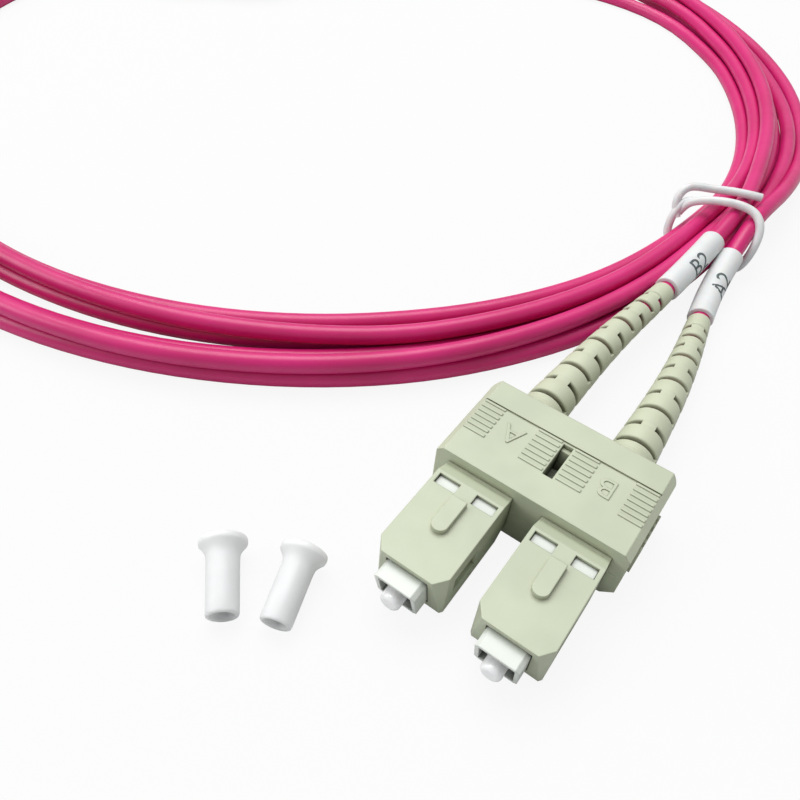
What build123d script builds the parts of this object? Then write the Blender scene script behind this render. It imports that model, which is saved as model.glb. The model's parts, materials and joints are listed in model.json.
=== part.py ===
from build123d import *
import math
import os

# Fibre optic patch cable: two jacketed fibres side by side in a round coil, with a
# push-pull duplex connector on each end, a coated wire tie round the coil and the
# two dust caps of the near end lying beside it.
# Millimetres. The origin lies midway between the two near plugs, in the plane of
# the front of their housings and on their axes. +Y runs back to the boots, +Z up.

# The duplex connector
PITCH = 12.7
FLOOR = -4.43
CLIP_FRONT = 15.2
CLIP_LENGTH = 13.9
CLIP_SIDE_WALL = 1.91
CLIP_WALL = 1.2
CLIP_REAR_WALL = 2.5
CLIP_CORNER = 1.0
CLIP_TOP_CHAMFER = 0.85
CLIP_BASE_CHAMFER = 1.5
CLIP_HOLE_CLEARANCE = 0.1
SLOT_WIDTH = 1.32
SLOT_START = 19.3
SLOT_LENGTH = 5.55
SLOT_DEPTH = 3.2
TONGUE_WIDTH = 1.2
TONGUE_LENGTH = 1.5
TONGUE_DROP = 0.6
GROOVE_WIDTH = 0.3
GROOVE_DEPTH = 0.2
GROOVE_PLACE = 25.2
GROOVE_HALF_LENGTH = 11.9
RIB_COUNT = 7
RIB_PITCH = 0.86
RIB_WIDTH = 0.4
RIB_HEIGHT = 0.12
RIB_START = 19.75
OUTER_RIBS = (8.85, 11.75)
INNER_RIBS = (0.9, 4.1)
GRIP_RIB_COUNT = 5
GRIP_RIB_PITCH = 1.3
GRIP_RIB_WIDTH = 0.6
GRIP_RIB_PROUD = 0.3
GRIP_RIB_HALF_HEIGHT = 2.4
GRIP_RIB_START = 18.6

# The outer housing of one plug
HOUSING_WIDTH = 9.0
HOUSING_HEIGHT = 7.4
FRONT_RAKE = 1.2
FRONT_CHAMFER_X = 1.2
FRONT_CHAMFER_Y = 1.6
SHOULDER_PLACE = 12.9
SHOULDER_LENGTH = 1.9
NECK_WIDTH = 8.8
NECK_HEIGHT = 5.6
FLANGE_HEIGHT = 6.6
FLANGE_END = 24.0
NECK_BORE = 4.6
KEY_WIDTH = 2.0
KEY_HEIGHT = 0.7
KEY_START = 5.35
KEY_END = 10.4
WINDOW_INNER = 1.1
WINDOW_OUTER = 3.95
WINDOW_START = 11.0
WINDOW_LENGTH = 1.5
SIDE_SLOT_DEPTH = 0.9
SIDE_SLOT_HEIGHT = 2.6
SIDE_SLOT_START = 3.2
SIDE_SLOT_END = 7.6

# The plug frame inside it, and how far the housing slides back over it
GRIP_TRAVEL = 2.0
SLIDE_GAP = 0.1
FRAME_WIDTH = 5.2
FRAME_HEIGHT = 5.3
FRAME_REACH = 2.2
FRAME_RAKE = 1.2
FRAME_CORNER = 0.5
FRAME_END = 13.2
LUG_START = 10.1
LUG_WIDTH = 7.8
LUG_RISE = 0.6
NOSE_OPENING = 4.2
NOSE_WALL_PLACE = 4.0
NOSE_WALL = 1.0

# The ferrule, its flange, the spring behind it and what holds them
FERRULE_DIAMETER = 2.5
FERRULE_TIP = -3.0
FERRULE_LENGTH = 10.5
FERRULE_ROUNDING = 0.45
FERRULE_SEAT = 2.1
FERRULE_SEAT_START = 4.0
FERRULE_GAP = 0.1
FIBRE_HOLE = 0.9
BARREL_BORE = 4.4
HOLDER_DIAMETER = 4.2
HOLDER_LENGTH = 2.2
HOLDER_NOTCH = 0.8
STEM_DIAMETER = 2.9
STEM_LENGTH = 4.3
SPRING_WIRE = 0.45
WIRE_SIDES = 8
SPRING_LENGTH = 4.8
SPRING_TURNS = 4
SPRING_GAP = 0.1
STOP_DIAMETER = 4.3
STOP_LENGTH = 12.6
STOP_MOUTH = 3.2
STOP_MOUTH_DEPTH = 1.6
BARREL_DIAMETER = 3.4
BARREL_LENGTH = 4.9
CRIMP_WALL = 0.35
CRIMP_GAP = 0.3
CRIMP_LENGTH = 4.7

# The boot: a straight collar in the clip, then slotted rings that lean inwards
COLLAR_START = 26.2
COLLAR_DIAMETER = 6.6
COLLAR_LENGTH = 4.6
BOOT_BASE_DIAMETER = 6.1
BOOT_TIP_DIAMETER = 3.5
BOOT_BEND = 31.5
BOOT_BORE_GAP = 0.2
SLOT_COUNT = 9
FIRST_SLOT = 4.4
FIRST_PITCH = 3.7
PITCH_LOSS = 0.15
RING_SLOT_WIDTH = 1.0
BRIDGE_WIDTH = 1.9

# The cords, the marker sleeves on them and the coil
CORD_DIAMETER = 2.8
SLEEVE_DIAMETER = 4.0
SLEEVE_LENGTH = 15.6
SLEEVE_GAP = 0.1
COIL_CENTRE = (-101.0, 103.0)
COIL_RADIUS = 100.0
COIL_FLAT = 22.0
COIL_FLAT_ANGLE = 160.0
LAYER_RISE = 2.42
LAYER_STEP = 1.4
COIL_STEPS = 24
# Angle round the coil, and how far an edge of the bundle lies outside its middle line
COIL_OUTER = [(-180, 8.5), (-130, 8.5), (-80, 8.3), (-65, 8.0), (-45, 7.6), (-25, 5.8), (-9, 4.6), (5, 6.0),
              (28, 8.5), (180, 8.5)]
COIL_INNER = [(-180, -5.8), (-80, -5.6), (-45, -6.8), (-9, -6.3), (4, -6.3), (28, -7.9), (42, -7.9), (60, -5.0),
              (130, -4.7), (180, -5.8)]
CROWN_OUTER = 3.6
CROWN_INNER = -4.5

# The wire tie and the dust caps
TIE_WIRE = 1.4
CAP_BARREL = 3.8
CAP_BORE = 2.6
CAP_BORE_DEPTH = 8.2
CAP_FLANGE = 5.6
CAP_LENGTH = 9.8
CAP_RIM = 0.9
CAP_CONE = 1.5
CAP_EDGE = 0.3

# Where the far connector lies, inside the coil: its origin and its turn about Z
FAR_PLACE = (-158.0, 105.0)
FAR_TURN = -45.0

HALF_PITCH = PITCH / 2
CLIP_HALF_WIDTH = HALF_PITCH + NECK_WIDTH / 2 + CLIP_SIDE_WALL
AXIS_SIDES = {"a": -1, "b": 1}
HALF_CORD = CORD_DIAMETER / 2
HOLDER_FRONT = NOSE_WALL_PLACE + NOSE_WALL
SPRING_START = HOLDER_FRONT + HOLDER_LENGTH
STOP_START = SPRING_START + SPRING_LENGTH
STOP_END = STOP_START + STOP_LENGTH
CLIP_END = CLIP_FRONT + CLIP_LENGTH


def block(x, y, z):
    """A box from its lowest to its highest place along each axis."""
    size = [high - low for low, high in (x, y, z)]
    middle = [(high + low) / 2 for low, high in (x, y, z)]
    return Pos(*middle) * Box(*size)


def centred(half_width, y, half_height):
    """A box centred on the plug's axis."""
    return block((-half_width, half_width), y, (-half_height, half_height))


def rod(diameter, start, end):
    """A round bar on the plug's axis, from one place along it to another."""
    bar = Cylinder(diameter / 2, end - start, align=(Align.CENTER, Align.CENTER, Align.MIN))
    return Pos(0, start, 0) * Rot(-90, 0, 0) * bar


def side_outline(points, half_width):
    """A profile seen from the side, points (y, z), made as wide as the piece."""
    outline = make_face(Plane.YZ * Polyline(*points, close=True))
    return extrude(outline, half_width, both=True)


def plan_outline(points, half_height):
    """A profile seen from above, points (x, y), made as high as the piece."""
    return extrude(make_face(Polyline(*points, close=True)), half_height, both=True)


def housing():
    """The outer housing: a raked front, sloped shoulders, a neck held by the clip."""
    top = HOUSING_HEIGHT / 2
    neck = NECK_HEIGHT / 2
    flange = FLANGE_HEIGHT / 2
    neck_start = SHOULDER_PLACE + SHOULDER_LENGTH
    flange_start = CLIP_FRONT + CLIP_WALL
    side = side_outline(
        [
            (0, top),
            (SHOULDER_PLACE, top),
            (neck_start, neck),
            (flange_start, neck),
            (flange_start, flange),
            (FLANGE_END, flange),
            (FLANGE_END, -flange),
            (flange_start, -flange),
            (flange_start, -neck),
            (neck_start, -neck),
            (SHOULDER_PLACE, -top),
            (FRONT_RAKE, -top),
        ],
        HOUSING_WIDTH,
    )
    half = HOUSING_WIDTH / 2
    slim = NECK_WIDTH / 2
    front = half - FRONT_CHAMFER_X
    right = [(front, 0), (half, FRONT_CHAMFER_Y), (half, SHOULDER_PLACE)]
    right += [(slim, neck_start), (slim, FLANGE_END)]
    left = [(-x, y) for x, y in reversed(right)]
    body = side & plan_outline(right + left, HOUSING_HEIGHT)
    key_top = top + KEY_HEIGHT
    key_centre = KEY_START + KEY_WIDTH / 2
    key = block((-KEY_WIDTH / 2, KEY_WIDTH / 2), (key_centre, KEY_END), (top - KEY_HEIGHT, key_top))
    nose = Pos(0, key_centre, top) * Cylinder(KEY_WIDTH / 2, 2 * KEY_HEIGHT)
    body += key + nose
    room = FRAME_HEIGHT / 2 + SLIDE_GAP
    body -= centred(FRAME_WIDTH / 2 + SLIDE_GAP, (-1, FRAME_END + SLIDE_GAP), room)
    lug_room = LUG_WIDTH / 2 + SLIDE_GAP
    channel = (LUG_START - GRIP_TRAVEL - SLIDE_GAP, FRAME_END + SLIDE_GAP)
    body -= centred(lug_room, channel, room)
    lug_top = FRAME_HEIGHT / 2 + LUG_RISE + SLIDE_GAP
    for x in ((WINDOW_INNER - SLIDE_GAP, lug_room), (-lug_room, SLIDE_GAP - WINDOW_INNER)):
        body -= block(x, channel, (-lug_top, lug_top))
    window = (WINDOW_START, WINDOW_START + WINDOW_LENGTH)
    for x in ((WINDOW_INNER, WINDOW_OUTER), (-WINDOW_OUTER, -WINDOW_INNER)):
        body -= block(x, window, (0, key_top))
    slot = (SIDE_SLOT_START, SIDE_SLOT_END)
    slot_depth = (half - SIDE_SLOT_DEPTH, half + 1)
    for low, high in (slot_depth, (-slot_depth[1], -slot_depth[0])):
        body -= block((low, high), slot, (-SIDE_SLOT_HEIGHT / 2, SIDE_SLOT_HEIGHT / 2))
    return body - rod(NECK_BORE, FRAME_END, FLANGE_END + 1)


def plug_frame():
    """The white inner frame: a raked nose round the ferrule, and lugs behind."""
    top = FRAME_HEIGHT / 2
    front = -FRAME_REACH
    body = side_outline([(front, top), (FRAME_END, top), (FRAME_END, -top), (front + FRAME_RAKE, -top)],
                        FRAME_WIDTH / 2)
    body = chamfer(body.edges().filter_by(Axis.Y), FRAME_CORNER)
    body += centred(LUG_WIDTH / 2, (LUG_START, FRAME_END), top)
    rise = top + LUG_RISE
    for x in ((WINDOW_INNER, LUG_WIDTH / 2), (-LUG_WIDTH / 2, -WINDOW_INNER)):
        body += block(x, (LUG_START, FRAME_END), (-rise, rise))
    opening = NOSE_OPENING / 2
    body -= centred(opening, (front - 1, NOSE_WALL_PLACE), opening)
    body -= rod(FERRULE_DIAMETER + 2 * FERRULE_GAP, NOSE_WALL_PLACE - 1, HOLDER_FRONT + 1)
    return body - rod(BARREL_BORE, HOLDER_FRONT, FRAME_END + 1)


def ferrule():
    """The polished cylinder that holds the fibre's end, with a thinner seat in its flange."""
    body = rod(FERRULE_DIAMETER, FERRULE_TIP, FERRULE_SEAT_START)
    tip = body.edges().filter_by(GeomType.CIRCLE).sort_by(Axis.Y)[0]
    return fillet(tip, FERRULE_ROUNDING) + rod(FERRULE_SEAT, FERRULE_SEAT_START, FERRULE_TIP + FERRULE_LENGTH)


def ferrule_flange():
    """The holder pressed on the ferrule: a notched flange and a hollow stem."""
    body = rod(HOLDER_DIAMETER, HOLDER_FRONT, SPRING_START)
    body += rod(STEM_DIAMETER, SPRING_START, SPRING_START + STEM_LENGTH)
    for turn in (0, 90):
        notch = block((-HOLDER_NOTCH / 2, HOLDER_NOTCH / 2), (HOLDER_FRONT - 1, HOLDER_FRONT + HOLDER_NOTCH),
                      (STEM_DIAMETER / 2, HOLDER_DIAMETER))
        body -= Rot(0, turn, 0) * notch
        body -= Rot(0, turn + 180, 0) * notch
    body -= rod(FERRULE_SEAT, HOLDER_FRONT - 1, FERRULE_TIP + FERRULE_LENGTH)
    return body - rod(FIBRE_HOLE, HOLDER_FRONT, SPRING_START + STEM_LENGTH + 1)


def spring():
    """The coil spring that presses the ferrule forwards."""
    radius = (STEM_DIAMETER + BARREL_BORE) / 4
    height = SPRING_LENGTH - SPRING_WIRE - 2 * SPRING_GAP
    path = Helix(height / SPRING_TURNS, height, radius)
    wire = sweep(Plane(path @ 0, z_dir=path % 0) * RegularPolygon(SPRING_WIRE / 2, WIRE_SIDES), path=path)
    return Pos(0, SPRING_START + SPRING_GAP + SPRING_WIRE / 2, 0) * Rot(-90, 0, 0) * wire


def stop():
    """The stop behind the spring, with the knurled barrel that the cord is crimped on."""
    body = rod(STOP_DIAMETER, STOP_START, STOP_END)
    body += rod(BARREL_DIAMETER, STOP_END, STOP_END + BARREL_LENGTH)
    body -= rod(STOP_MOUTH, STOP_START - 1, STOP_START + STOP_MOUTH_DEPTH)
    return body - rod(FIBRE_HOLE, STOP_START, STOP_END + BARREL_LENGTH + 1)


def crimp_ring():
    """The metal ring that crimps the cord's yarn on the stop's barrel."""
    bore = BARREL_DIAMETER + SLIDE_GAP
    start = STOP_END + CRIMP_GAP
    return rod(bore + 2 * CRIMP_WALL, start, start + CRIMP_LENGTH) - rod(bore, start - 1, start + CRIMP_LENGTH + 1)


def boot(length, yaw, rise):
    """The strain relief: its collar lies in the clip, and its rings lean with the cord."""
    crimp_room = BARREL_DIAMETER + 2 * CRIMP_WALL + 2 * SLIDE_GAP
    crimp_end = STOP_END + CRIMP_GAP + CRIMP_LENGTH + SLIDE_GAP
    collar = rod(COLLAR_DIAMETER, COLLAR_START, COLLAR_START + COLLAR_LENGTH)
    base = BOOT_BASE_DIAMETER / 2
    tip = BOOT_TIP_DIAMETER / 2
    edge = (base - tip) / 4
    outline = Polyline((0, -1), (base, -1), (base, 0), (tip, length - edge), (tip - edge, length), (0, length),
                       close=True)
    rings = revolve(make_face(Plane.XY * outline), Axis.Y, 360)
    for number in range(SLOT_COUNT):
        place = FIRST_SLOT + FIRST_PITCH * number - PITCH_LOSS * number * (number - 1) / 2
        along = (place - RING_SLOT_WIDTH / 2, place + RING_SLOT_WIDTH / 2)
        web = BRIDGE_WIDTH / 2
        for cut in (block((-base, base), along, (web, base)), block((-base, base), along, (-base, -web))):
            turn = 90 * (1 - number % 2)
            rings -= Rot(0, turn, 0) * cut
    rings -= rod(CORD_DIAMETER + BOOT_BORE_GAP, -2, length + 1)
    body = collar + Pos(0, BOOT_BEND, 0) * Rot(rise, 0, yaw) * rings
    body -= rod(crimp_room, COLLAR_START - 1, crimp_end)
    return body - rod(CORD_DIAMETER + BOOT_BORE_GAP, crimp_end - 1, BOOT_BEND + 1)


def clip_shell():
    """The duplex clip as one body, before it is split: two rooms for the plugs."""
    top = -FLOOR
    half = CLIP_HALF_WIDTH
    plan = block((-half, half), (CLIP_FRONT, CLIP_END), (FLOOR, top))
    plan = fillet(plan.edges().filter_by(Axis.Z).sort_by(Axis.Y)[-2:], CLIP_CORNER)
    right = [(half - CLIP_BASE_CHAMFER, FLOOR), (half, FLOOR + CLIP_BASE_CHAMFER)]
    right += [(half, top - CLIP_TOP_CHAMFER), (half - CLIP_TOP_CHAMFER, top)]
    left = [(-x, z) for x, z in reversed(right)]
    front = make_face(Plane.XZ * Polyline(*right, *left, close=True))
    body = plan & extrude(front, CLIP_END + 1, dir=(0, 1, 0))
    neck_room = NECK_WIDTH / 2 + SLIDE_GAP / 2
    neck_height = NECK_HEIGHT / 2 + SLIDE_GAP / 2
    room_end = CLIP_END - CLIP_REAR_WALL
    hole = COLLAR_DIAMETER + 2 * CLIP_HOLE_CLEARANCE
    for side in AXIS_SIDES.values():
        at_plug = Pos(side * HALF_PITCH, 0, 0)
        body -= at_plug * centred(neck_room, (CLIP_FRONT - 1, room_end), neck_height)
        room = centred(neck_room, (CLIP_FRONT + CLIP_WALL, room_end), FLANGE_HEIGHT / 2 + SLIDE_GAP / 2)
        body -= at_plug * room
        body -= at_plug * rod(hole, room_end - 1, CLIP_END + 1)
    return body


def rib_rows():
    """The raised finger ribs on the clip's top face."""
    rows = []
    for inner, outer in (OUTER_RIBS, INNER_RIBS):
        for number in range(RIB_COUNT):
            place = RIB_START + RIB_PITCH * number
            along = (place - RIB_WIDTH / 2, place + RIB_WIDTH / 2)
            for x in ((inner, outer), (-outer, -inner)):
                rows.append(block(x, along, (-FLOOR - RIB_HEIGHT, -FLOOR + RIB_HEIGHT)))
    return rows


def grip_ribs():
    """The upright ribs on the clip's two sides, for the fingers that pull it."""
    rows = []
    for number in range(GRIP_RIB_COUNT):
        place = GRIP_RIB_START + GRIP_RIB_PITCH * number
        along = (place - GRIP_RIB_WIDTH / 2, place + GRIP_RIB_WIDTH / 2)
        height = (-GRIP_RIB_HALF_HEIGHT, GRIP_RIB_HALF_HEIGHT)
        proud = CLIP_HALF_WIDTH + GRIP_RIB_PROUD
        rows.append(block((CLIP_HALF_WIDTH - GRIP_RIB_PROUD, proud), along, height))
        rows.append(block((-proud, GRIP_RIB_PROUD - CLIP_HALF_WIDTH), along, height))
    return rows


def clip_halves():
    """The clip's upper and lower half, which snap together round the plugs."""
    body = clip_shell() + grip_ribs() + rib_rows()
    groove = (GROOVE_PLACE - GROOVE_WIDTH / 2, GROOVE_PLACE + GROOVE_WIDTH / 2)
    body -= block((-GROOVE_HALF_LENGTH, GROOVE_HALF_LENGTH), groove, (-FLOOR - GROOVE_DEPTH, -FLOOR + 1))
    slot_end = SLOT_START + SLOT_LENGTH
    slot_floor = -FLOOR - SLOT_DEPTH
    body -= block((-SLOT_WIDTH / 2, SLOT_WIDTH / 2), (SLOT_START, slot_end), (slot_floor, -FLOOR + 1))
    big = 2 * CLIP_HALF_WIDTH
    upper = block((-big, big), (0, 2 * CLIP_END), (0, big))
    tongue_top = -FLOOR - TONGUE_DROP
    tongue_end = slot_end - SLIDE_GAP / 2
    tongue = side_outline([(tongue_end, -TONGUE_DROP), (tongue_end, tongue_top),
                           (tongue_end - TONGUE_DROP, tongue_top),
                           (tongue_end - TONGUE_LENGTH, slot_floor), (tongue_end - TONGUE_LENGTH, -TONGUE_DROP)],
                          TONGUE_WIDTH / 2)
    passage = block((-SLOT_WIDTH / 2, SLOT_WIDTH / 2), (slot_end - TONGUE_LENGTH - SLIDE_GAP, slot_end),
                    (0, slot_floor))
    top_half = (body & upper) - passage
    bottom_half = (body - upper) + tongue
    return top_half, bottom_half


def connector():
    """Every piece of one duplex connector but its boots, by name, in its own frame."""
    clip_top, clip_bottom = clip_halves()
    pieces = {"clip_top": clip_top, "clip_bottom": clip_bottom}
    makers = {
        "housing": housing,
        "plug_frame": plug_frame,
        "ferrule": ferrule,
        "ferrule_flange": ferrule_flange,
        "spring": spring,
        "stop": stop,
        "crimp_ring": crimp_ring,
    }
    for name, maker in makers.items():
        piece = maker()
        for letter, side in AXIS_SIDES.items():
            pieces[f"{name}_{letter}"] = Pos(side * HALF_PITCH, 0, 0) * piece
    return pieces


def heading(start, end):
    """The turn about Z and the rise, in degrees, of a straight piece from start to end."""
    step = Vector(*end) - Vector(*start)
    yaw = -math.degrees(math.atan2(step.X, step.Y))
    rise = math.degrees(math.atan2(step.Z, math.hypot(step.X, step.Y)))
    return yaw, rise, step.length


def marker_sleeve(start, end):
    """A tube pushed over the cord, which carries the end's mark."""
    yaw, rise, length = heading(start, end)
    gap = (length - SLEEVE_LENGTH) / 2
    tube = rod(SLEEVE_DIAMETER, gap, gap + SLEEVE_LENGTH)
    tube -= rod(CORD_DIAMETER + SLEEVE_GAP, gap - 1, gap + SLEEVE_LENGTH + 1)
    return Pos(*start) * Rot(rise, 0, yaw) * tube


def cord_tube(route, name):
    """A round tube along straight runs joined by arcs as large as the runs allow."""
    points = [Vector(*point) for point in route]
    radii = []
    for before, corner, after in zip(points, points[1:], points[2:]):
        turn = math.radians((corner - before).get_angle(after - corner))
        shorter = min((corner - before).length, (after - corner).length)
        radii.append(0.45 * shorter / math.tan(turn / 2))
    path = FilletPolyline(*points, radius=radii)
    tube = sweep(Plane(path @ 0, z_dir=path % 0) * Circle(HALF_CORD), path=path)
    print(name, "radii", [round(radius) for radius in radii], "length", round(path.length, 1),
          "volume ratio", round(tube.volume / (math.pi * HALF_CORD ** 2 * path.length), 4))
    return tube


def coil_radius(degrees):
    """How far the middle of the bundle lies from the coil's centre at an angle."""
    near_flat = (1 + math.cos(math.radians(degrees - COIL_FLAT_ANGLE))) / 2
    return COIL_RADIUS - COIL_FLAT * near_flat ** 2


def coil_edge(stations):
    """A closed smooth line round the coil, offset from the bundle's middle."""
    points = []
    for step in range(COIL_STEPS):
        degrees = -180 + 360 * step / COIL_STEPS
        offset = between(stations, degrees)
        radius = coil_radius(degrees) + offset
        angle = math.radians(degrees)
        points.append((COIL_CENTRE[0] + radius * math.cos(angle), COIL_CENTRE[1] + radius * math.sin(angle)))
    return Spline(*points, periodic=True)


def between(stations, degrees):
    """The value at an angle, along straight lines between the stations."""
    for (low, first), (high, second) in zip(stations, stations[1:]):
        if low <= degrees <= high:
            return first + (second - first) * (degrees - low) / (high - low)
    return stations[-1][1]


def coil_ring(outer, inner, low, high):
    """One layer of the coil as a closed ring."""
    ring = make_face(coil_edge(outer)) - make_face(coil_edge(inner))
    return Pos(0, 0, low) * extrude(ring, high - low, dir=(0, 0, 1))


def cord_coil():
    """The wound cords: a full lower layer, an upper layer and the lifted top turns."""
    lower_top = FLOOR + CORD_DIAMETER
    upper_top = lower_top + LAYER_RISE
    crown_top = upper_top + LAYER_RISE
    upper_outer = [(angle, offset - LAYER_STEP) for angle, offset in COIL_OUTER]
    upper_inner = [(angle, offset + LAYER_STEP) for angle, offset in COIL_INNER]
    body = coil_ring(COIL_OUTER, COIL_INNER, FLOOR, lower_top)
    upper = coil_ring(upper_outer, upper_inner, lower_top, upper_top)
    upper -= block(LEAD_ROOM_X, LEAD_ROOM_Y, (FLOOR, crown_top))
    crown = coil_ring([(-180, CROWN_OUTER), (180, CROWN_OUTER)], [(-180, CROWN_INNER), (180, CROWN_INNER)],
                      upper_top, crown_top)
    crown &= block(CROWN_X, CROWN_Y, (FLOOR, crown_top))
    return body + upper + crown


def twist_tie(loop, tail):
    """The plastic-coated wire round the bundle, and the end that sticks out of its twist."""
    wires = []
    for route in (loop, tail):
        path = FilletPolyline(*route, radius=TIE_BEND)
        wires.append(sweep(Plane(path @ 0, z_dir=path % 0) * Circle(TIE_WIRE / 2), path=path))
    return wires[0] + wires[1]


def dust_cap(flange_at, barrel_at):
    """A ferrule cap lying on the floor, on the rims of its flange and of its barrel."""
    barrel = CAP_BARREL / 2
    flange = CAP_FLANGE / 2
    outline = Polyline((0, 0), (flange - CAP_EDGE, 0), (flange, CAP_EDGE), (flange, CAP_RIM),
                       (barrel, CAP_RIM + CAP_CONE), (barrel, CAP_LENGTH), (CAP_BORE / 2, CAP_LENGTH),
                       (CAP_BORE / 2, CAP_LENGTH - CAP_BORE_DEPTH), (0, CAP_LENGTH - CAP_BORE_DEPTH), close=True)
    cap = revolve(make_face(Plane.XY * outline), Axis.Y, 360)
    across = Vector(barrel_at[0] - flange_at[0], barrel_at[1] - flange_at[1], 0)
    yaw = -math.degrees(math.atan2(across.X, across.Y))
    dip = -math.degrees(math.atan2(flange - barrel, CAP_LENGTH - CAP_RIM))
    laid = Rot(dip, 0, yaw) * cap
    return Pos(flange_at[0], flange_at[1], FLOOR - laid.bounding_box().min.Z) * laid


# The routes of the four cord ends, from the bend in the boot to the coil. The first
# point is where the boot starts to lean, the next to last run carries the sleeve.
NEAR_ROUTES = {
    "a": [(-6.35, 31.5, 0.0), (-5.3, 42.5, 0.1), (-4.15, 53.5, 0.3), (-2.9, 65.0, 0.6), (-1.2, 81.5, 1.5),
          (-0.75, 92.0, 3.2), (-1.6, 103.0, 1.8)],
    "b": [(6.35, 31.5, 0.0), (5.65, 42.5, 0.05), (4.85, 53.0, 0.15), (4.0, 63.0, 0.2), (2.55, 79.0, 1.8),
          (2.1, 92.0, 2.9), (1.3, 103.0, 1.7)],
}
BOOT_TIPS = {"a": (-2.9, 64.9, 0.5), "b": (4.0, 62.7, 0.2)}
FAR_ROUTES = {
    "a": [(-6.35, 31.5, 0.0), (-5.75, 42.5, 0.0), (-5.0, 53.0, 0.0), (-4.3, 63.5, 0.0), (-3.6, 80.5, -1.0),
          (-3.5, 97.0, -0.8), (7.5, 118.0, -0.7), (27.5, 131.5, -0.4), (47.0, 134.0, -0.6)],
    "b": [(6.35, 31.5, 0.0), (5.75, 42.5, 0.0), (5.0, 53.0, 0.0), (4.3, 63.5, 0.0), (3.6, 80.5, -1.0),
          (3.8, 94.5, -2.2), (11.5, 114.5, -3.0), (29.0, 128.5, -3.02), (49.0, 132.0, -3.03)],
}
FAR_BOOT_TIPS = {"a": (-4.3, 62.7, 0.0), "b": (4.3, 62.7, 0.0)}
FAR_LOCATION = Location((*FAR_PLACE, 0), (0, 0, FAR_TURN))
LEAD_ROOM_X = (-7.0, 30.0)
LEAD_ROOM_Y = (40.0, 92.0)
CROWN_X = (-20.0, 30.0)
CROWN_Y = (92.0, 140.0)
TIE_BEND = 1.5
TIE_LOOP = [(-9.9, 87.2, 1.8), (-6.5, 88.8, 4.9), (3.3, 90.4, 5.2), (5.5, 86.5, 2.0), (4.4, 84.4, -3.7),
            (-8.6, 84.2, -3.7), (-9.9, 85.6, 0.9)]
TIE_TAIL = [(-9.9, 85.4, -1.5), (-10.4, 86.8, 2.6), (-7.5, 91.5, 4.2), (0.5, 96.5, 5.0)]
CAP_PLACES = {"dust_cap_a": ((-26.5, -7.3), (-20.9, -13.3)), "dust_cap_b": ((-18.2, -2.6), (-15.3, -11.0))}


def build():
    """All the pieces of the cable, by the names of their nodes."""
    nodes = {}
    for name, piece in connector().items():
        nodes[f"near_{name}"] = piece
        nodes[f"far_{name}"] = FAR_LOCATION * piece
    ends = (("near", NEAR_ROUTES, BOOT_TIPS, Location()), ("far", FAR_ROUTES, FAR_BOOT_TIPS, FAR_LOCATION))
    for end, routes, tips, place in ends:
        for letter, route in routes.items():
            yaw, rise, length = heading(route[0], tips[letter])
            at_plug = Pos(AXIS_SIDES[letter] * HALF_PITCH, 0, 0)
            nodes[f"{end}_boot_{letter}"] = place * at_plug * boot(length, yaw, rise)
            nodes[f"{end}_marker_sleeve_{letter}"] = place * marker_sleeve(route[3], route[4])
            nodes[f"{end}_lead_{letter}"] = place * cord_tube(route, f"{end}_lead_{letter}")
    nodes["cord_coil"] = cord_coil()
    nodes["twist_tie"] = twist_tie(TIE_LOOP, TIE_TAIL)
    for name, (flange_at, barrel_at) in CAP_PLACES.items():
        nodes[name] = dust_cap(flange_at, barrel_at)
    return nodes


os.makedirs("parts", exist_ok=True)
for node, shape in build().items():
    export_step(shape, f"parts/{node}.step")
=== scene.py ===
# %% [markdown]
# # Fibre optic patch cable
#
# A coiled duplex fibre cable: two push-pull plugs in a clip at each end, slotted boots, marker
# sleeves, a wire tie and two dust caps. Sizes are in metres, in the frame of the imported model:
# +Y runs back from the near plugs to their boots and +Z is up. Sizes written in millimetres are
# multiplied by MM where they are used.
#
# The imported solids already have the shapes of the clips, housings and plug frames. This script
# makes what they can't show well: the bent boots, each cord as one curve, the printed marks, the
# tie, the caps, the ferrules and every finish.

import json
import math

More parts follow.
